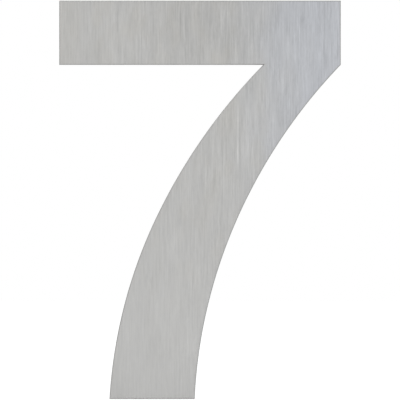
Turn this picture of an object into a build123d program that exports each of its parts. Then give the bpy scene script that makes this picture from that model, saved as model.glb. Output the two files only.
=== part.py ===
from build123d import *
import os
from math import cos, radians, sin, sqrt

# House number 7, cut from brushed stainless steel plate, with threaded studs welded to its back.
# Millimetres. The wall is the plane y = 0 and the number is read from -Y, with +X to its right
# and +Z up. The origin lies on the wall, at the middle of the number's width and height.

# Outline of the digit
number_height = 150.0
number_width = 106.0
bar_height = 24.2           # bar across the top
corner_inset = 29.2         # right end of the bar to the corner where the leg's inner side meets it
foot_inset = 18.9           # left end of the bar to the foot
foot_width = 32.1
inner_foot_slant = 3.4      # slants of the leg's two sides, in degrees from upright
inner_bar_slant = 44.5
outer_foot_slant = 2.7
outer_bar_slant = 43.9

# Plate
plate_thickness = 3.0
edge_break = 0.3            # rounding that deburring leaves round the front face

# Studs
stud_diameter = 4.0         # M4, over the thread
stud_length = 30.0          # plate's back to the tip
tip_chamfer = 0.6
flange_diameter = 5.5
flange_thickness = 0.9
weld_diameter = 6.1         # ring of fused metal round the flange
weld_depth = 0.2            # how far the weld reaches into the plate
weld_rise = 0.35            # height of the ring up the flange
bar_stud_inset = 13.0       # end of the bar to the stud behind it
foot_stud_height = 20.0     # foot to the lowest stud

left, right = -number_width / 2, number_width / 2
foot, top = -number_height / 2, number_height / 2
bar_underside = top - bar_height


def upward(slant):
    """Direction that climbs with this slant to the right."""
    return Vector(sin(radians(slant)), cos(radians(slant)))


def flank(start, end, start_slant, end_slant):
    """One side of the leg, from the foot up to the bar: two arcs that run into each other.

    The arcs leave and arrive with the given slants, and they meet halfway between the points
    where the tangents at both ends have run the same reach.
    """
    leave, arrive = upward(start_slant), upward(end_slant)
    span = Vector(*end) - Vector(*start)
    both = leave + arrive
    a = 4 - both.dot(both)
    b = both.dot(span)
    reach = (sqrt(b * b + a * span.dot(span)) - b) / a
    meet = (Vector(*start) + Vector(*end) + (leave - arrive) * reach) / 2
    lower = TangentArc(start, meet, tangent=leave)
    upper = TangentArc(meet, end, tangent=lower % 1)
    return [lower, upper]


def digit():
    """The number's outline as a face: the bar, and the leg that sweeps down to the foot."""
    foot_left = (left + foot_inset, foot)
    foot_right = (foot_left[0] + foot_width, foot)
    inner_corner = (right - corner_inset, bar_underside)
    outer_corner = (right, bar_underside)
    inner_side = flank(foot_left, inner_corner, inner_foot_slant, inner_bar_slant)
    outer_side = flank(foot_right, outer_corner, outer_foot_slant, outer_bar_slant)
    bar = Polyline(inner_corner, (left, bar_underside), (left, top), (right, top), outer_corner)
    sole = Line(foot_left, foot_right)
    return make_face(inner_side + [bar] + outer_side + [sole])


def stud_places(outline):
    """Where the studs stand: two behind the bar, one behind the leg, midway across it."""
    bar_middle = (bar_underside + top) / 2
    level = foot + foot_stud_height
    across_leg = outline.intersect(Line((left, level), (right, level))).edges()[0]
    return {
        "stud_bar_left": (left + bar_stud_inset, bar_middle),
        "stud_bar_right": (right - bar_stud_inset, bar_middle),
        "stud_foot": ((across_leg @ 0.5).X, level),
    }


def number_plate(outline, places):
    """The flat digit, its front edges eased, with a shallow weld seat under each stud."""
    plate = extrude(Plane.XZ * outline, amount=plate_thickness)
    front = plate.faces().sort_by(Axis.Y)[0]
    plate = fillet(front.edges(), edge_break)
    for x, z in places.values():
        seat = Pos(x, 0, z) * Rot(X=90) * Cylinder(
            weld_diameter / 2, weld_depth, align=(Align.CENTER, Align.CENTER, Align.MIN))
        plate -= seat
    return plate


def stud():
    """A weld stud on the origin: fused foot, flange and M4 shank, turned about the Y axis."""
    shank, flange, weld = stud_diameter / 2, flange_diameter / 2, weld_diameter / 2
    profile = Polyline(
        (0, -weld_depth), (weld, -weld_depth), (weld, 0),
        (flange, weld_rise), (flange, flange_thickness),
        (shank, flange_thickness), (shank, stud_length - tip_chamfer),
        (shank - tip_chamfer, stud_length), (0, stud_length), close=True)
    return revolve(make_face(profile), Axis.Y)


outline = digit()
places = stud_places(outline)
pieces = {"number_plate": number_plate(outline, places)}
for name, (x, z) in places.items():
    pieces[name] = Pos(x, 0, z) * stud()

os.makedirs("parts", exist_ok=True)
for name, piece in pieces.items():
    export_step(piece, f"parts/{name}.step")
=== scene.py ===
import random
from math import atan2, cos, pi, radians, sin, sqrt

import bmesh
import bpy
from bpy.props import FloatProperty, FloatVectorProperty, IntProperty, PointerProperty
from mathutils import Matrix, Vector


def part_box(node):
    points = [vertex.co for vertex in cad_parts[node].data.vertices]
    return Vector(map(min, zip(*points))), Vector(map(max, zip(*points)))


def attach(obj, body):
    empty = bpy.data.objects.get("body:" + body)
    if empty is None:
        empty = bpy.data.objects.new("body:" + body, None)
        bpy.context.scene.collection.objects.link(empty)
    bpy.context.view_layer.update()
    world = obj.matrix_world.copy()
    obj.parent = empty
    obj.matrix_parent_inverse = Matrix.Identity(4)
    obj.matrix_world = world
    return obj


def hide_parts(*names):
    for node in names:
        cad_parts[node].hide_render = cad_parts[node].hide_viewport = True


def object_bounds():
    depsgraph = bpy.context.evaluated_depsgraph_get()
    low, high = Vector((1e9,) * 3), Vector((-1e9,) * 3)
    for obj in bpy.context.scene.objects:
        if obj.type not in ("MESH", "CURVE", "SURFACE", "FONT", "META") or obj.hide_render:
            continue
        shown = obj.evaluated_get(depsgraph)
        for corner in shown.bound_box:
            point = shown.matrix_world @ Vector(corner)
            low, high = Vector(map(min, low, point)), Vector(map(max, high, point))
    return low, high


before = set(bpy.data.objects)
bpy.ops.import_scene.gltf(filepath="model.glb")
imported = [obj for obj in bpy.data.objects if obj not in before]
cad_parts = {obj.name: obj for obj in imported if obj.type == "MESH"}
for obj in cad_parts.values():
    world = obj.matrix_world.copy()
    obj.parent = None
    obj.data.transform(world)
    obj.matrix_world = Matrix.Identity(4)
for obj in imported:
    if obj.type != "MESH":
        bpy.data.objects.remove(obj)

bl_info = {
    "name": "House Number",
    "version": (1, 0, 0),
    "blender": (4, 5, 0),
    "location": "View3D > Sidebar > House Number",
    "description": "Brushed steel house number with threaded weld studs, in a white studio",
    "category": "Object",
}

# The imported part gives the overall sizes: x to the reader's right, z up, the wall at y = 0.
CAD_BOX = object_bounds()
PLATE_LOW, PLATE_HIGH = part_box("number_plate")
STUD_NODES = ("stud_bar_left", "stud_bar_right", "stud_foot")
MM = 0.001

# The plate's own map, and the attribute that is 1 along the face's edge, where the face is painted
# darker as the rounded edge's shade.
LAY = "lay"
SHADED_RIM = "rim"

# Grain of each layer of the brushing, in mm: across the lines, through the plate, along the lines.
HAIR = (0.09, 1, 7)
FINE = (0.62, 1, 12)
GRIT = (0.45, 1, 2)
SCRATCH = (0.34, 1, 16)
BROAD = (3.2, 1, 22)
BAND = (8, 1, 26)
PATCH = (5, 1, 13)
STRAW = (7, 1, 12)

# Painted reflection and shade, in mm: (x, z), reach, change. The spots darken or lighten the steel where
# it mirrored darker or lighter surroundings, and the lowest one lifts the floor's shade at the foot.
PAINTED_LIGHT_SPOTS = (
    ((3, 66), 36, -0.052), ((12, 62), 11, -0.030), ((34, 68), 10, -0.045), ((45, 60), 20, 0.024),
    ((12, 0), 14, 0.018), ((-20, -42), 42, 0.028), ((-18, -77), 15, 0.028),
)

# Single brush lines that stand out, in mm: x, height of their middle, half length, change.
BOLD_LINES = (
    (14.2, 24, 16, 0.085), (14.2, 18, 6, 0.11), (13.6, 18, 6, -0.03), (15.0, 22, 20, -0.06),
    (-7.4, 67, 9, -0.09), (-6.0, 67, 9, 0.08), (-31.2, 68, 7, -0.07), (-32.4, 65, 7, 0.07),
    (50.1, 54, 7, 0.09), (33.2, 57, 6, 0.07), (-24.0, 57, 7, 0.06), (29.8, 44, 7, -0.07),
    (31.3, 44, 7, 0.07), (-5.6, 55, 6, -0.06), (7.9, 68, 6, 0.06), (40.7, 65, 7, 0.06),
)

# Shades of the other surfaces, as shares of the warm steel's colour.
# The straw tint colours random patches and, at the bar's left end, a painted warm reflection.
STRAW_SHADE = (1.004, 0.996, 0.978)
CUT_SHADE = (0.9, 0.9, 0.9)
BACK_SHADE = (0.93, 0.93, 0.93)

# Colours of the studs and of their welds.
STUD_BRIGHT = (0.56, 0.55, 0.53)
STUD_DULL = (0.50, 0.49, 0.47)
WELD_MIDDLING = (0.30, 0.27, 0.25)
WELD_DARK = (0.20, 0.19, 0.21)
WELD_BRIGHT = (0.40, 0.36, 0.31)

# Colours round a weld, from the stud outwards: share of the heat's reach, colour.
HEAT_TINTS = (
    (0.0, (0.24, 0.21, 0.19)), (0.16, (0.27, 0.28, 0.34)), (0.34, (0.42, 0.33, 0.28)),
    (0.60, (0.48, 0.43, 0.34)),
)

# One turn of the thread, crest first: share of the pitch, and 1 at the crest or 0 at the root.
THREAD_PROFILE = ((0.0, 1.0), (1 / 8, 1.0), (7 / 16, 0.0), (11 / 16, 0.0))

# Soft square lamps: name, place and width in metres, share of the key lamp's power, colour.
LAMPS = (
    ("key_lamp", (-1.1, -2.0, 1.8), 1.3, 1.0, (1.0, 1.0, 1.0)),
    ("cool_lamp", (2.0, -1.5, 1.1), 1.1, 0.4, (0.85, 0.93, 1.0)),
    ("back_lamp", (0.9, 2.2, 1.5), 1.3, 0.6, (1.0, 1.0, 1.0)),
)

# Width of the camera's sensor, in mm.
SENSOR_WIDTH = 36.0


class DigitSizes(bpy.types.PropertyGroup):
    """Outline of the digit, as it is cut."""

    bar_height: FloatProperty(
        name="Bar height", description="Height of the bar across the top",
        default=24.2 * MM, unit="LENGTH", precision=5)
    corner_inset: FloatProperty(
        name="Corner inset",
        description="Right end of the bar to the corner where the leg starts under it",
        default=29.2 * MM, unit="LENGTH", precision=5)
    foot_inset: FloatProperty(
        name="Foot inset", description="Left end of the bar to the foot",
        default=18.9 * MM, unit="LENGTH", precision=5)
    foot_width: FloatProperty(
        name="Foot width", description="Length of the foot's straight edge",
        default=32.1 * MM, unit="LENGTH", precision=5)
    inner_foot_slant: FloatProperty(
        name="Inner slant at the foot",
        description="Lean of the leg's inner side at the foot, from upright",
        default=radians(3.4), subtype="ANGLE")
    inner_bar_slant: FloatProperty(
        name="Inner slant at the bar",
        description="Lean of the leg's inner side under the bar, from upright",
        default=radians(44.5), subtype="ANGLE")
    outer_foot_slant: FloatProperty(
        name="Outer slant at the foot",
        description="Lean of the leg's outer side at the foot, from upright",
        default=radians(2.7), subtype="ANGLE")
    outer_bar_slant: FloatProperty(
        name="Outer slant at the bar",
        description="Lean of the leg's outer side at the bar, from upright",
        default=radians(43.9), subtype="ANGLE")
    edge_break: FloatProperty(
        name="Edge break", description="Rounding that deburring leaves round the face",
        default=0.3 * MM, unit="LENGTH", precision=5)
    # Painted shade: the rim is a line painted darker inside the face's edge, for the shade of the
    # rounded edge.
    shaded_rim_width: FloatProperty(
        name="Rim width",
        description="Width of the duller line that deburring leaves inside the face's edge",
        default=0.6 * MM, unit="LENGTH", precision=5)
    point_spacing: FloatProperty(
        name="Point spacing", description="Distance between mesh points along the outline",
        default=1.0 * MM, unit="LENGTH", precision=5)


class StudSizes(bpy.types.PropertyGroup):
    """One weld stud: thread, flange and weld."""

    pitch: FloatProperty(
        name="Pitch", description="Rise of the thread in one turn",
        default=0.7 * MM, unit="LENGTH", precision=5)
    thread_depth: FloatProperty(
        name="Thread depth", description="Crest to root of the thread",
        default=0.43 * MM, unit="LENGTH", precision=5)
    runout: FloatProperty(
        name="Run-out", description="Length over which the thread fades in above the flange",
        default=1.2 * MM, unit="LENGTH", precision=5)
    tip_chamfer: FloatProperty(
        name="Tip chamfer", description="Bevel at the stud's tip",
        default=0.6 * MM, unit="LENGTH", precision=5)
    radius: FloatProperty(
        name="Thread radius", description="Radius over the thread's crests",
        default=2.0 * MM, unit="LENGTH", precision=5)
    flange_radius: FloatProperty(
        name="Flange radius", description="Radius of the stud's flange",
        default=2.75 * MM, unit="LENGTH", precision=5)
    flange_thickness: FloatProperty(
        name="Flange thickness", description="Plate's back to the flange's upper face",
        default=0.9 * MM, unit="LENGTH", precision=5)
    flange_bevel: FloatProperty(
        name="Flange bevel", description="Bevel round the flange's upper face",
        default=0.12 * MM, unit="LENGTH", precision=5)
    weld_rise: FloatProperty(
        name="Weld rise", description="Height of the fused ring up the flange",
        default=0.35 * MM, unit="LENGTH", precision=5)
    weld_lumps: FloatProperty(
        name="Weld lumps",
        description="How far the fused ring swells and shrinks on its way round",
        default=0.12 * MM, unit="LENGTH", precision=5)
    segments: IntProperty(
        name="Segments", description="Points in one turn of the thread", default=36, min=12)


class SteelFinish(bpy.types.PropertyGroup):
    """Colours of the steel and of its brushing."""

    warm: FloatVectorProperty(
        name="Warm steel", description="Colour of the brushed steel at the left and below",
        default=(0.480, 0.478, 0.470), subtype="COLOR", size=3, min=0.0, max=1.0)
    # Painted reflection: the bluish tint painted on the face's upper right.
    cool_reflection: FloatVectorProperty(
        name="Cool steel", description="Colour of the brushed steel at the upper right",
        default=(0.467, 0.478, 0.503), subtype="COLOR", size=3, min=0.0, max=1.0)
    roughness: FloatProperty(
        name="Roughness", description="Roughness of the brushed face",
        default=0.34, min=0.0, max=1.0, subtype="FACTOR")
    line_contrast: FloatProperty(
        name="Line contrast", description="How far the brush lines lighten and darken the steel",
        default=0.30, min=0.0, max=1.0, subtype="FACTOR")


class StudioSetup(bpy.types.PropertyGroup):
    """Camera, floor and lamps."""

    lens: FloatProperty(
        name="Lens", description="Focal length of the camera",
        default=1000.0, min=20.0, subtype="DISTANCE_CAMERA")
    frame_width: FloatProperty(
        name="Frame width", description="What the frame spans at the face of the number",
        default=150.64 * MM, unit="LENGTH", precision=5)
    camera_drop: FloatProperty(
        name="Camera drop", description="How far the camera looks below the number's middle",
        default=0.094 * MM, unit="LENGTH", precision=6)
    surround: FloatProperty(
        name="Surround", description="Brightness of the white room as it lights matt surfaces",
        default=0.7, min=0.0, max=2.0)
    key_power: FloatProperty(
        name="Key lamp", description="Power of the main lamp", default=10.0, min=0.0, unit="POWER")


def sizes(name):
    """The named group of settings."""
    return getattr(bpy.context.scene, name)


def middle(node):
    """Middle of a CAD node's box."""
    low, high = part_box(node)
    return (low + high) / 2


def shaded(colour, shade):
    """A colour times a shade."""
    return [part * share for part, share in zip(colour, shade)]


# Node helpers

def add(tree, kind, inputs=None, **settings):
    """Adds a node to a tree. inputs maps a socket's name or number to a value or to an output."""
    node = tree.nodes.new(kind)
    for key, value in settings.items():
        setattr(node, key, value)
    for key, value in (inputs or {}).items():
        if isinstance(value, bpy.types.NodeSocket):
            tree.links.new(value, node.inputs[key])
        else:
            node.inputs[key].default_value = value
    return node


def maths(tree, operation, *values, clamp=False):
    """A Math node's result."""
    kind = "ShaderNodeMath"
    return add(tree, kind, dict(enumerate(values)), operation=operation, use_clamp=clamp).outputs[0]


def joined(tree, operation, first, *others):
    """Several values joined one after another by an operation that takes two."""
    for value in others:
        first = maths(tree, operation, first, value)
    return first


def weighted(tree, start, *terms):
    """A start value plus each term's value times its weight."""
    for value, weight in terms:
        start = maths(tree, "MULTIPLY_ADD", value, weight, start)
    return start


def ramp(tree, value, low, high, to_low=0.0, to_high=1.0, smooth=True):
    """Value mapped from low..high to to_low..to_high, and held at both ends."""
    style = "SMOOTHSTEP" if smooth else "LINEAR"
    inputs = {0: value, 1: low, 2: high, 3: to_low, 4: to_high}
    return add(tree, "ShaderNodeMapRange", inputs, interpolation_type=style).outputs[0]


def distance(tree, first, second):
    """Distance between two places."""
    inputs = {0: first, 1: second}
    return add(tree, "ShaderNodeVectorMath", inputs, operation="DISTANCE").outputs["Value"]


def brightened(tree, colour, level):
    """A colour brightened or darkened by a level."""
    inputs = {0: colour, "Scale": level}
    return add(tree, "ShaderNodeVectorMath", inputs, operation="SCALE").outputs[0]


def blend(tree, share, first, second):
    """Two colours mixed by a share."""
    node = add(tree, "ShaderNodeMix", {0: share}, data_type="RGBA")
    for socket, value in ((6, first), (7, second)):
        if isinstance(value, bpy.types.NodeSocket):
            tree.links.new(value, node.inputs[socket])
        else:
            node.inputs[socket].default_value = (*value, 1.0)
    return node.outputs[2]


def noise(tree, place, grain, seed, detail=2.0):
    """Noise from 0 to 1 whose grains have this size along x, y and z, in mm. The seed shifts it."""
    stretched = add(tree, "ShaderNodeMapping", {
        "Vector": place,
        "Scale": [1 / (size * MM) for size in grain],
        "Location": (seed, seed * 2.3, seed * 3.7),
    })
    inputs = {"Vector": stretched.outputs[0], "Scale": 1.0, "Detail": detail, "Roughness": 0.55}
    return add(tree, "ShaderNodeTexNoise", inputs).outputs[0]


def place_on_piece(tree):
    """Place on the piece, in metres."""
    return add(tree, "ShaderNodeTexCoord").outputs["Object"]


def split(tree, vector):
    """A vector's x, y and z."""
    return add(tree, "ShaderNodeSeparateXYZ", {0: vector}).outputs


# Materials

def new_material(name, colour):
    """A metallic material and its shader. colour is also its colour in the viewport."""
    material = bpy.data.materials.new(name)
    material.use_nodes = True
    material.diffuse_color = (*colour, 1.0)
    tree = material.node_tree
    shader = tree.nodes["Principled BSDF"]
    shader.inputs["Metallic"].default_value = 1.0
    shader.inputs["Base Color"].default_value = (*colour, 1.0)
    return material, tree, shader


def paint(tree, shader, colour, roughness):
    """Gives the shader its colour and its roughness."""
    tree.links.new(colour, shader.inputs["Base Color"])
    tree.links.new(roughness, shader.inputs["Roughness"])


def emboss(tree, shader, height, depth, strength):
    """Gives the shader a relief of this depth, in mm."""
    inputs = {"Height": height, "Distance": depth * MM, "Strength": strength}
    bump = add(tree, "ShaderNodeBump", inputs).outputs[0]
    tree.links.new(bump, shader.inputs["Normal"])


def brushed_level(tree, place, lines, contrast):
    """Brightness of the brushed face, about 1: its lines, clouds and scratches, stronger to the upper
    right, and then the spots of painted reflection and shade, the bold lines and the rim painted darker
    as shade."""
    x, _, z = split(tree, place)
    upper_right = maths(tree, "MULTIPLY_ADD", x, 2.0, z)

    # A noise has its middle at a half, so the lines have theirs at 0.65 and the clouds theirs at 0.
    lines_middle = 0.65
    patch = noise(tree, place, PATCH, 27.0)
    swing = joined(tree, "MULTIPLY", maths(tree, "SUBTRACT", lines, lines_middle), contrast,
                   ramp(tree, upper_right, -150 * MM, 160 * MM, 0.48, 1.22),
                   ramp(tree, patch, 0.35, 0.65, 0.75, 1.25))

    band = noise(tree, place, BAND, 17.0, detail=1.0)
    broad = noise(tree, place, BROAD, 11.0)
    clouds = joined(tree, "MULTIPLY", weighted(tree, -0.24, (band, 0.14), (broad, 0.34)), contrast,
                    ramp(tree, upper_right, -90 * MM, 60 * MM, 0.42, 0.76))

    sparse = noise(tree, place, SCRATCH, 37.0, detail=1.0)
    bright_scratches = ramp(tree, sparse, 0.70, 0.78, 0.0, 0.07)
    dark_scratches = ramp(tree, sparse, 0.22, 0.28, -0.05, 0.0)

    # Painted reflection and shade from the spots join the level here.
    level = joined(tree, "ADD", 1.0, swing, clouds, bright_scratches, dark_scratches,
                   *painted_light_spots(tree, place))
    # Painted shade: a thin line darker along the face's edge.
    rim = add(tree, "ShaderNodeAttribute", attribute_name=SHADED_RIM).outputs["Fac"]
    return weighted(tree, level, *bold_lines(tree, x, z), (rim, -0.045))


def painted_light_spots(tree, place):
    """Painted reflection and shade: the change of brightness that each spot brings, full near its
    middle.
    """
    for (x, z), reach, change in PAINTED_LIGHT_SPOTS:
        away = distance(tree, place, (x * MM, 0, z * MM))
        yield ramp(tree, away, 0.2 * reach * MM, reach * MM, change, 0.0)


def bold_lines(tree, x, z):
    """How near each bold line is, 1 on it and 0 beside it, and the change that it brings along it."""
    for line_x, line_z, half_length, change in BOLD_LINES:
        across = maths(tree, "ABSOLUTE", maths(tree, "SUBTRACT", x, line_x * MM))
        along = maths(tree, "ABSOLUTE", maths(tree, "SUBTRACT", z, line_z * MM))
        fading = ramp(tree, along, 0.3 * half_length * MM, half_length * MM, change, 0.0)
        yield ramp(tree, across, 0.12 * MM, 0.45 * MM, 1.0, 0.0), fading


def brushed_tint(tree, place, finish):
    """Colour of the brushed face: warm, bluish to the right behind a wavering border as a painted
    reflection, straw in random patches, and straw at the bar's left end as a painted warm reflection."""
    x, _, z = split(tree, place)
    rightward = maths(tree, "MULTIPLY_ADD", z, 0.08, x)
    band = noise(tree, place, BAND, 17.0, detail=1.0)
    wavering = maths(tree, "MULTIPLY", maths(tree, "SUBTRACT", band, 0.5), 20 * MM)
    # Painted reflection: the face turns bluish to the upper right.
    painted_cool_share = ramp(tree, maths(tree, "ADD", rightward, wavering), 9 * MM, 50 * MM)

    patches = ramp(tree, noise(tree, place, STRAW, 33.0), 0.4, 0.7)
    patches = maths(tree, "MULTIPLY", patches, ramp(tree, z, -60 * MM, 20 * MM, 0.1, 1.0))
    # Painted reflection: a warm tint at the bar's left end.
    painted_warm_reflection = ramp(tree, x, -52 * MM, -40 * MM, 0.9, 0.0)
    straw = maths(tree, "MAXIMUM", patches, painted_warm_reflection)

    tint = blend(tree, straw, finish.warm, shaded(finish.warm, STRAW_SHADE))
    return blend(tree, painted_cool_share, tint, finish.cool_reflection)


def brushed_face():
    """The face: steel with upright brush lines, warm at the left and below, and painted bluish at the
    upper right as a reflection.
    """
    finish = sizes("steel_finish")
    material, tree, shader = new_material("brushed_face", finish.warm)
    place = place_on_piece(tree)
    hair = noise(tree, place, HAIR, 3.0)
    fine = noise(tree, place, FINE, 7.0)
    grit = noise(tree, place, GRIT, 41.0)
    lines = weighted(tree, 0.0, (hair, 0.42), (fine, 0.63), (grit, 0.25))

    # A noise swings by half its range at most, so the contrast is doubled.
    level = brushed_level(tree, place, lines, finish.line_contrast * 2)
    colour = brightened(tree, brushed_tint(tree, place, finish), level)
    dull, bright = finish.roughness + 0.06, finish.roughness - 0.06
    paint(tree, shader, colour, ramp(tree, lines, 0.4, 0.9, dull, bright, smooth=False))
    emboss(tree, shader, weighted(tree, fine, (hair, 0.5)), 0.01, 0.6)

    shader.inputs["Anisotropic"].default_value = 0.6
    across = add(tree, "ShaderNodeTangent", direction_type="UV_MAP", uv_map=LAY)
    tree.links.new(across.outputs[0], shader.inputs["Tangent"])
    return material


def cut_edge():
    """The cut edge: fine lines through the thickness, lagging towards the back, and the lip at the face,
    painted darker as the rounded edge's shade.
    """
    base = shaded(sizes("steel_finish").warm, CUT_SHADE)
    material, tree, shader = new_material("cut_edge", base)
    lay = add(tree, "ShaderNodeUVMap", uv_map=LAY).outputs[0]
    along, depth, _ = split(tree, lay)
    through = maths(tree, "DIVIDE", depth, PLATE_HIGH.y - PLATE_LOW.y)
    lag = maths(tree, "MULTIPLY", maths(tree, "POWER", through, 2.0), 0.5 * MM)
    lagging = add(tree, "ShaderNodeCombineXYZ", {0: maths(tree, "ADD", along, lag), 1: depth}).outputs[0]

    grooves = noise(tree, lagging, (0.22, 4, 1), 5.0, detail=1.0)
    patches = noise(tree, lagging, (3, 2, 1), 9.0)
    level = maths(tree, "ADD", ramp(tree, grooves, 0.3, 0.7, 0.88, 1.04),
                  ramp(tree, patches, 0.3, 0.7, -0.04, 0.04))
    # Painted shade: the rounded lip next to the face is darker.
    painted_shade_lip = ramp(tree, depth, 0.26 * MM, 0.34 * MM, 0.85, 1.0)
    colour = brightened(tree, base, maths(tree, "MULTIPLY", level, painted_shade_lip))
    paint(tree, shader, colour, ramp(tree, grooves, 0.3, 0.7, 0.52, 0.36))
    emboss(tree, shader, grooves, 0.03, 0.7)
    return material


def mill_back():
    """The back: dull rolled steel with a faint grain, and a straw and blue heat ring round each weld."""
    base = shaded(sizes("steel_finish").warm, BACK_SHADE)
    material, tree, shader = new_material("mill_back", base)
    place = place_on_piece(tree)
    flat = add(tree, "ShaderNodeVectorMath", {0: place, 1: (1, 0, 1)}, operation="MULTIPLY").outputs[0]
    centres = [middle(node) for node in STUD_NODES]
    nearest = joined(tree, "MINIMUM", *[distance(tree, flat, (c.x, 0, c.z)) for c in centres])
    ragged = maths(tree, "SUBTRACT", noise(tree, place, (1.2, 1.2, 1.2), 21.0), 0.5)
    reach = weighted(tree, nearest, (ragged, 1.0 * MM))

    heat = add(tree, "ShaderNodeValToRGB", {0: ramp(tree, reach, 3.0 * MM, 5.4 * MM, smooth=False)})
    stops = heat.color_ramp.elements
    for index, (share, colour) in enumerate((*HEAT_TINTS, (1.0, base))):
        stop = stops[index] if index < 2 else stops.new(share)
        stop.position = share
        stop.color = (*colour, 1.0)

    grain = noise(tree, place, (0.3, 1, 6), 13.0)
    cloud = noise(tree, place, (14, 1, 20), 15.0)
    level = maths(tree, "ADD", ramp(tree, grain, 0.3, 0.7, 0.96, 1.02),
                  ramp(tree, cloud, 0.3, 0.7, -0.03, 0.03))
    colour = brightened(tree, heat.outputs[0], level)
    paint(tree, shader, colour, ramp(tree, cloud, 0.3, 0.7, 0.40, 0.48))
    emboss(tree, shader, noise(tree, place, (0.15, 0.15, 0.15), 19.0), 0.008, 0.5)
    return material


def stud_steel():
    """Bright rolled steel of the studs, smeared a little darker in places."""
    material, tree, shader = new_material("stud_steel", STUD_BRIGHT)
    place = place_on_piece(tree)
    smear = noise(tree, place, (0.8, 2.5, 0.8), 23.0)
    colour = blend(tree, ramp(tree, smear, 0.35, 0.65), STUD_DULL, STUD_BRIGHT)
    paint(tree, shader, colour, ramp(tree, smear, 0.3, 0.7, 0.34, 0.24))
    emboss(tree, shader, noise(tree, place, (0.12, 1, 0.12), 29.0), 0.006, 0.5)
    return material


def weld_metal():
    """The fused ring: dull, scaled and heat-tinted."""
    material, tree, shader = new_material("weld_metal", WELD_MIDDLING)
    scale = noise(tree, place_on_piece(tree), (0.5, 0.5, 0.5), 31.0, detail=4.0)
    colour = blend(tree, ramp(tree, scale, 0.35, 0.65), WELD_DARK, WELD_BRIGHT)
    paint(tree, shader, colour, ramp(tree, scale, 0.3, 0.7, 0.6, 0.42))
    emboss(tree, shader, scale, 0.05, 0.8)
    return material


# The plate

def arc(start, tangent, end, spacing):
    """Points of the arc that leaves start along tangent and ends at end, without its start."""
    chord = end - start
    heading = atan2(tangent.y, tangent.x)
    half_turn = (atan2(chord.y, chord.x) - heading + pi) % (2 * pi) - pi
    count = max(2, round(chord.length / spacing))
    points = []
    for i in range(1, count + 1):
        turned = half_turn * i / count
        reach = chord.length * sin(turned) / sin(half_turn)
        points.append(start + reach * Vector((cos(heading + turned), sin(heading + turned))))
    return points


def flank(start, end, start_slant, end_slant, spacing):
    """One side of the leg, from the foot up to the bar: two arcs that run into each other."""
    leave = Vector((sin(start_slant), cos(start_slant)))
    arrive = Vector((sin(end_slant), cos(end_slant)))
    span = end - start
    both = leave + arrive
    a = 4 - both.dot(both)
    b = both.dot(span)
    reach = (sqrt(b * b + a * span.dot(span)) - b) / a
    meet = (start + end + (leave - arrive) * reach) / 2
    chord = (meet - start).normalized()
    onward = 2 * leave.dot(chord) * chord - leave
    return [start] + arc(start, leave, meet, spacing) + arc(meet, onward, end, spacing)


def digit_outline():
    """Points (x, z) of the digit's outline, counterclockwise seen from the front."""
    digit = sizes("digit_sizes")
    left, right = PLATE_LOW.x, PLATE_HIGH.x
    foot, top = PLATE_LOW.z, PLATE_HIGH.z
    underside = top - digit.bar_height
    foot_left = Vector((left + digit.foot_inset, foot))
    foot_right = Vector((left + digit.foot_inset + digit.foot_width, foot))
    inner_corner = Vector((right - digit.corner_inset, underside))
    outer_corner = Vector((right, underside))
    inner = flank(foot_left, inner_corner, digit.inner_foot_slant, digit.inner_bar_slant,
                  digit.point_spacing)
    outer = flank(foot_right, outer_corner, digit.outer_foot_slant, digit.outer_bar_slant,
                  digit.point_spacing)
    bar = [outer_corner, Vector((right, top)), Vector((left, top)), Vector((left, underside))]
    return [foot_left] + outer[:-1] + bar + inner[:0:-1]


def mark_shaded_rim(bm, width):
    """Cuts a line into the face at this width from its edge, and marks the edge, which the material
    paints darker as shade.
    """
    rim = bm.verts.layers.float.new(SHADED_RIM)
    front = min(bm.faces, key=lambda face: face.normal.y)
    for vertex in front.verts:
        vertex[rim] = 1.0
    bmesh.ops.inset_region(bm, faces=[front], thickness=width, use_even_offset=True)
    for vertex in front.verts:
        vertex[rim] = 0.0


def number_plate():
    """The digit as a mesh: flat face and back, cut edges, and the face's edges rounded off."""
    digit = sizes("digit_sizes")
    mesh = bpy.data.meshes.new("brushed_number")
    bm = bmesh.new()
    outline = digit_outline()
    back = [bm.verts.new((p.x, PLATE_HIGH.y, p.y)) for p in outline]
    front = [bm.verts.new((p.x, PLATE_LOW.y, p.y)) for p in outline]
    bm.faces.new(front)
    bm.faces.new(back[::-1])
    count = len(outline)
    for i in range(count):
        j = (i + 1) % count
        bm.faces.new((back[i], back[j], front[j], front[i]))
    bm.normal_update()
    front_edges = [edge for edge in bm.edges
                   if all(v.co.y < PLATE_LOW.y + digit.edge_break / 2 for v in edge.verts)]
    bmesh.ops.bevel(bm, geom=front_edges, offset=digit.edge_break, offset_type="OFFSET", segments=4,
                    profile=0.5, affect="EDGES", clamp_overlap=False)
    bmesh.ops.recalc_face_normals(bm, faces=bm.faces[:])
    # A rim wider than this would run past the outline's next point and fold at the foot's corners.
    widest = 0.9 * digit.point_spacing - digit.edge_break
    mark_shaded_rim(bm, min(digit.shaded_rim_width, widest))
    bm.to_mesh(mesh)
    bm.free()
    return mesh


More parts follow.
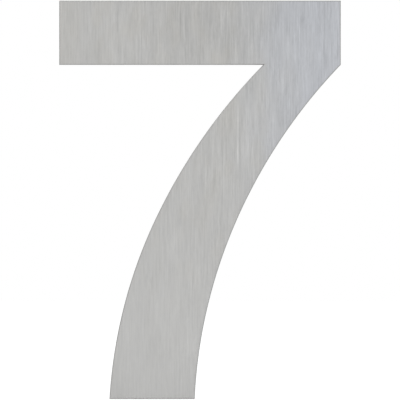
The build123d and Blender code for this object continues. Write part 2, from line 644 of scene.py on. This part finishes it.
def lay_out(mesh):
    """Gives each zone its material and its own map in metres: x and z on the flats, way along and
    depth on the edges. Edges between zones and at corners are sharp, the rest is smooth."""
    flat_face, cut, flat_back = range(3)
    square_on = 0.9999
    sharp = radians(30)
    bm = bmesh.new()
    bm.from_mesh(mesh)
    lay = bm.loops.layers.uv.new(LAY)
    outline = digit_outline()
    run = [0.0]
    for a, b in zip(outline, outline[1:]):
        run.append(run[-1] + (b - a).length)
    for face in bm.faces:
        face.smooth = True
        facing = face.normal.y
        face.material_index = (
            flat_face if facing < -square_on else flat_back if facing > square_on else cut)
        if face.material_index != cut:
            for corner in face.loops:
                corner[lay].uv = (corner.vert.co.x, corner.vert.co.z)
            continue
        centre = face.calc_center_median()
        centre = Vector((centre.x, centre.z))
        nearest = min(range(len(outline)), key=lambda i: (outline[i] - centre).length_squared)
        along = Vector((-face.normal.z, face.normal.x)).normalized()
        for corner in face.loops:
            point = Vector((corner.vert.co.x, corner.vert.co.z))
            way = run[nearest] + (point - outline[nearest]).dot(along)
            corner[lay].uv = (way, corner.vert.co.y - PLATE_LOW.y)
    for edge in bm.edges:
        zones = {face.material_index for face in edge.link_faces}
        edge.smooth = len(zones) == 1 and edge.calc_face_angle(0.0) < sharp
    bm.to_mesh(mesh)
    bm.free()


# The studs

def picked(tree, index, values):
    """The value that stands at an index of a short list."""
    switch = add(tree, "GeometryNodeIndexSwitch", data_type="FLOAT")
    while len(switch.index_switch_items) < len(values):
        switch.index_switch_items.new()
    tree.links.new(index, switch.inputs[0])
    for socket, value in enumerate(values, start=1):
        switch.inputs[socket].default_value = value
    return switch.outputs[0]


def thread_tree(material):
    """Geometry Nodes tree that turns a grid into a screw thread along +Y, its rows on the helix."""
    tree = bpy.data.node_groups.new("weld_stud_thread", "GeometryNodeTree")
    sockets = tree.interface
    sockets.new_socket("Geometry", in_out="OUTPUT", socket_type="NodeSocketGeometry")
    named = {}
    for name in ("Radius", "Depth", "Pitch", "Start", "End", "Run-out", "Chamfer"):
        named[name] = sockets.new_socket(name, in_out="INPUT", socket_type="NodeSocketFloat").identifier
    named["Segments"] = sockets.new_socket(
        "Segments", in_out="INPUT", socket_type="NodeSocketInt").identifier
    given = add(tree, "NodeGroupInput").outputs
    radius, depth, pitch = given["Radius"], given["Depth"], given["Pitch"]
    start, end = given["Start"], given["End"]

    # A grid one unit wide and high: the way round the stud across it, the rows of the profile up it.
    rows_per_turn = float(len(THREAD_PROFILE))
    turns = maths(tree, "CEIL", maths(tree, "DIVIDE", maths(tree, "SUBTRACT", end, start), pitch))
    turns = maths(tree, "ADD", turns, 2.0)
    rows = maths(tree, "MULTIPLY_ADD", turns, rows_per_turn, 1.0)
    columns = maths(tree, "ADD", given["Segments"], 1.0)
    grid = add(tree, "GeometryNodeMeshGrid", {
        "Size X": 1.0, "Size Y": 1.0, "Vertices X": columns, "Vertices Y": rows}).outputs["Mesh"]
    across, up, _ = split(tree, add(tree, "GeometryNodeInputPosition").outputs[0])
    around = maths(tree, "ADD", across, 0.5)
    row = maths(tree, "MULTIPLY", maths(tree, "ADD", up, 0.5), maths(tree, "SUBTRACT", rows, 1.0))
    row = maths(tree, "ROUND", row)

    # Height of each point: its turn, its share of the profile, and the climb on its way round.
    turn = maths(tree, "FLOOR", maths(tree, "DIVIDE", row, rows_per_turn))
    step = maths(tree, "MODULO", row, rows_per_turn)
    shares, levels = zip(*THREAD_PROFILE)
    climbed = maths(tree, "ADD", maths(tree, "ADD", turn, picked(tree, step, shares)),
                    maths(tree, "SUBTRACT", around, 1.0))
    height = maths(tree, "MULTIPLY_ADD", climbed, pitch, start)
    height = maths(tree, "MINIMUM", maths(tree, "MAXIMUM", height, start), end)

    # Reach of each point from the axis: the blank, the profile where it has faded in, the chamfer.
    blank = maths(tree, "MULTIPLY_ADD", depth, -0.5, radius)
    swell = maths(tree, "MULTIPLY", maths(tree, "SUBTRACT", picked(tree, step, levels), 0.5), depth)
    risen = maths(tree, "DIVIDE", maths(tree, "SUBTRACT", height, start), given["Run-out"], clamp=True)
    reach = maths(tree, "MULTIPLY_ADD", swell, risen, blank)
    tip = maths(tree, "ADD", maths(tree, "SUBTRACT", end, height),
                maths(tree, "SUBTRACT", radius, given["Chamfer"]))
    reach = maths(tree, "MINIMUM", reach, tip)

    angle = maths(tree, "MULTIPLY", around, 2 * pi)
    point = add(tree, "ShaderNodeCombineXYZ", {
        0: maths(tree, "MULTIPLY", reach, maths(tree, "COSINE", angle)),
        1: height,
        2: maths(tree, "MULTIPLY", reach, maths(tree, "SINE", angle))}).outputs[0]
    shaped = add(tree, "GeometryNodeSetPosition", {"Geometry": grid, "Position": point}).outputs[0]
    welded = add(tree, "GeometryNodeMergeByDistance", {"Geometry": shaped, "Distance": 0.002 * MM})
    real = add(tree, "GeometryNodeRealizeInstances", {0: welded.outputs[0]}).outputs[0]
    painted = add(tree, "GeometryNodeSetMaterial", {"Geometry": real, "Material": material})
    tree.links.new(painted.outputs[0], add(tree, "NodeGroupOutput").inputs[0])
    return tree, named


def thread_mesh(material, start, end):
    """The thread as a plain mesh, on the stud's own axis."""
    stud = sizes("stud_sizes")
    tree, named = thread_tree(material)
    carrier = bpy.data.objects.new("thread_carrier", bpy.data.meshes.new("thread_carrier"))
    bpy.context.scene.collection.objects.link(carrier)
    modifier = carrier.modifiers.new("thread", "NODES")
    modifier.node_group = tree
    values = {
        "Radius": stud.radius, "Depth": stud.thread_depth, "Pitch": stud.pitch, "Start": start,
        "End": end, "Run-out": stud.runout, "Chamfer": stud.tip_chamfer, "Segments": stud.segments,
    }
    for name, value in values.items():
        modifier[named[name]] = value
    bpy.context.view_layer.update()
    evaluated = carrier.evaluated_get(bpy.context.evaluated_depsgraph_get())
    mesh = bpy.data.meshes.new_from_object(evaluated)
    carrier.modifiers.remove(modifier)
    bpy.data.objects.remove(carrier)
    return mesh


def stud_mesh(materials, seed):
    """One stud along +Y, with its base on y = 0: weld ring, flange and thread in one skin."""
    stud = sizes("stud_sizes")
    low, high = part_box(STUD_NODES[0])
    weld = (high.x - low.x) / 2
    blank = stud.radius - stud.thread_depth / 2
    # Rings from the weld's foot to the thread: radius, height, share of the weld's lumps.
    profile = [
        (weld, low.y, 0.0),  # the weld's foot, inside the plate
        (weld, 0.02 * MM, 0.0),  # where it leaves the plate's back
        (weld - 0.1 * MM, stud.weld_rise * 0.6, 1.0),  # its lumpy shoulder
        (stud.flange_radius, stud.weld_rise, 0.6),  # its top, against the flange
        (stud.flange_radius, stud.flange_thickness - stud.flange_bevel, 0.0),  # the flange's side
        (stud.flange_radius - stud.flange_bevel, stud.flange_thickness, 0.0),  # its bevelled rim
        (blank, stud.flange_thickness, 0.0),  # the foot of the thread
    ]
    # Bands between the rings, from the weld's foot up, that are weld metal.
    weld_bands = 3
    sharp = radians(32)
    chance = random.Random(seed)
    count = stud.segments
    lumps = [chance.uniform(-1, 1) for _ in range(count)]
    lumps = [(lumps[i - 1] + 2 * lumps[i] + lumps[(i + 1) % count]) / 4 for i in range(count)]

    bm = bmesh.new()
    bm.from_mesh(thread_mesh(materials[0], stud.flange_thickness, high.y))
    for face in bm.faces:
        face.material_index = 0
    rings = []
    for radius, y, lumpy in profile:
        ring = []
        for i in range(count):
            angle = 2 * pi * i / count
            reach = radius + lumpy * lumps[i] * stud.weld_lumps
            ring.append(bm.verts.new((reach * cos(angle), y, reach * sin(angle))))
        rings.append(ring)
    for band, (lower, upper) in enumerate(zip(rings, rings[1:])):
        for i in range(count):
            j = (i + 1) % count
            face = bm.faces.new((lower[i], lower[j], upper[j], upper[i]))
            face.material_index = 1 if band < weld_bands else 0
    bm.faces.new(rings[0])

    bmesh.ops.remove_doubles(bm, verts=bm.verts[:], dist=0.004 * MM)
    holes = [edge for edge in bm.edges if edge.is_boundary]
    bmesh.ops.holes_fill(bm, edges=holes, sides=0)
    bmesh.ops.dissolve_degenerate(bm, edges=bm.edges[:], dist=0.001 * MM)
    bmesh.ops.recalc_face_normals(bm, faces=bm.faces[:])
    for face in bm.faces:
        face.smooth = True
    for edge in bm.edges:
        edge.smooth = edge.calc_face_angle(0.0) < sharp
    mesh = bpy.data.meshes.new("weld_stud")
    bm.to_mesh(mesh)
    bm.free()
    for material in materials:
        mesh.materials.append(material)
    return mesh


def place_piece(name, mesh, slot, *nodes):
    """Shows a finished mesh in place of CAD nodes."""
    piece = bpy.data.objects.new(name, mesh)
    bpy.context.scene.collection.objects.link(piece)
    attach(piece, "root")
    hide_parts(*nodes)


class HOUSENUMBER_OT_plate(bpy.types.Operator):
    """Make the digit's plate, with its brushed face, cut edges and rolled back"""

    bl_idname = "house_number.plate"
    bl_label = "Number plate"

    def execute(self, context):
        mesh = number_plate()
        lay_out(mesh)
        for material in (brushed_face(), cut_edge(), mill_back()):
            mesh.materials.append(material)
        place_piece("brushed_number", mesh, "brushed_stainless", "number_plate")
        return {"FINISHED"}


class HOUSENUMBER_OT_studs(bpy.types.Operator):
    """Make the threaded weld studs behind the plate"""

    bl_idname = "house_number.studs"
    bl_label = "Weld studs"

    def execute(self, context):
        materials = (stud_steel(), weld_metal())
        for seed, node in enumerate(STUD_NODES):
            mesh = stud_mesh(materials, seed)
            centre = middle(node)
            for vertex in mesh.vertices:
                vertex.co.x += centre.x
                vertex.co.z += centre.z
            place_piece("threaded_" + node, mesh, "stud_steel", node)
        return {"FINISHED"}


# The studio

def white_room():
    """World: white to the camera and even as a light. Metal mirrors a room that is white behind the
    camera, darker at the sides and brighter overhead."""
    surround = sizes("studio_setup").surround
    world = bpy.data.worlds.new("white_room")
    bpy.context.scene.world = world
    world.use_nodes = True
    tree = world.node_tree
    background = tree.nodes["Background"]
    path = add(tree, "ShaderNodeLightPath").outputs
    _, depth, up = split(tree, add(tree, "ShaderNodeTexCoord").outputs["Generated"])
    walls = maths(tree, "ADD", ramp(tree, depth, -0.8, 0.1, 1.00, 0.70),
                  ramp(tree, depth, 0.1, 1.0, 0.0, 0.16))
    mirrored = maths(tree, "ADD", walls, ramp(tree, up, 0.2, 1.0, 0.0, 0.25))
    seen = maths(tree, "MAXIMUM", path["Is Camera Ray"], path["Is Transmission Ray"])
    lit = maths(tree, "MULTIPLY_ADD", path["Is Glossy Ray"],
                maths(tree, "SUBTRACT", mirrored, surround), surround)
    tree.links.new(maths(tree, "MAXIMUM", seen, lit), background.inputs["Strength"])
    background.inputs["Color"].default_value = (1, 1, 1, 1)
    world.cycles.sampling_method = "NONE"


def floor():
    """Pale floor under the foot. It shows white, and keeps the number's shadow."""
    half = 4.0
    level = CAD_BOX[0].z
    mesh = bpy.data.meshes.new("floor")
    corners = [(-half, -half, level), (half, -half, level), (half, half, level), (-half, half, level)]
    mesh.from_pydata(corners, [], [(0, 1, 2, 3)])
    material = bpy.data.materials.new("floor")
    material.use_nodes = True
    tree = material.node_tree
    shader = tree.nodes["Principled BSDF"]
    shader.inputs["Base Color"].default_value = (0.86, 0.86, 0.86, 1)
    shader.inputs["Roughness"].default_value = 0.9
    shader.inputs["Specular IOR Level"].default_value = 0.0
    shader.inputs["Emission Color"].default_value = (1, 1, 1, 1)
    path = add(tree, "ShaderNodeLightPath").outputs
    seen = maths(tree, "MAXIMUM", path["Is Camera Ray"], path["Is Transmission Ray"])
    glow = weighted(tree, 0.0, (seen, 0.42), (path["Is Glossy Ray"], 0.38))
    tree.links.new(glow, shader.inputs["Emission Strength"])
    mesh.materials.append(material)
    plane = bpy.data.objects.new("floor", mesh)
    bpy.context.scene.collection.objects.link(plane)


def lamp(name, place, width, power, colour):
    """A square soft lamp that looks at the number's middle."""
    light = bpy.data.lights.new(name, "AREA")
    light.shape = "SQUARE"
    light.size = width
    light.energy = power
    light.color = colour
    body = bpy.data.objects.new(name, light)
    body.location = place
    body.rotation_mode = "QUATERNION"
    body.rotation_quaternion = (-Vector(place)).to_track_quat("-Z", "Y")
    bpy.context.scene.collection.objects.link(body)


def camera():
    """Camera square on to the face, as far off as its lens needs for the frame."""
    studio = sizes("studio_setup")
    data = bpy.data.cameras.new("camera")
    data.lens = studio.lens
    data.sensor_width = SENSOR_WIDTH
    away = studio.frame_width * studio.lens / SENSOR_WIDTH
    body = bpy.data.objects.new("camera", data)
    face = PLATE_LOW.y + sizes("digit_sizes").edge_break
    body.location = (0.0, face - away, -studio.camera_drop)
    body.rotation_euler = (pi / 2, 0.0, 0.0)
    bpy.context.scene.collection.objects.link(body)
    bpy.context.scene.camera = body


class HOUSENUMBER_OT_studio(bpy.types.Operator):
    """Make the white studio: floor, room, lamps and camera"""

    bl_idname = "house_number.studio"
    bl_label = "Studio"

    def execute(self, context):
        key_power = sizes("studio_setup").key_power
        white_room()
        floor()
        for name, place, width, share, colour in LAMPS:
            lamp(name, place, width, key_power * share, colour)
        camera()
        context.scene.view_settings.view_transform = "Standard"
        return {"FINISHED"}


class HOUSENUMBER_PT_panel(bpy.types.Panel):
    """Sizes, colours and steps of the house number"""

    bl_idname = "HOUSENUMBER_PT_panel"
    bl_label = "House Number"
    bl_space_type = "VIEW_3D"
    bl_region_type = "UI"
    bl_category = "House Number"

    def draw(self, context):
        for group in GROUPS:
            box = self.layout.box()
            settings = sizes(group)
            for name in settings.__annotations__:
                box.prop(settings, name)
        for step in STEPS:
            self.layout.operator(step.bl_idname)


GROUPS = {
    "digit_sizes": DigitSizes,
    "stud_sizes": StudSizes,
    "steel_finish": SteelFinish,
    "studio_setup": StudioSetup,
}
STEPS = (HOUSENUMBER_OT_plate, HOUSENUMBER_OT_studs, HOUSENUMBER_OT_studio)
CLASSES = (*GROUPS.values(), *STEPS, HOUSENUMBER_PT_panel)


def register():
    for kind in CLASSES:
        bpy.utils.register_class(kind)
    for name, group in GROUPS.items():
        setattr(bpy.types.Scene, name, PointerProperty(type=group))


def unregister():
    for name in GROUPS:
        delattr(bpy.types.Scene, name)
    for kind in reversed(CLASSES):
        bpy.utils.unregister_class(kind)


def main():
    register()
    bpy.ops.house_number.studio()
    bpy.ops.house_number.plate()
    bpy.ops.house_number.studs()


if __name__ == "__main__":
    main()
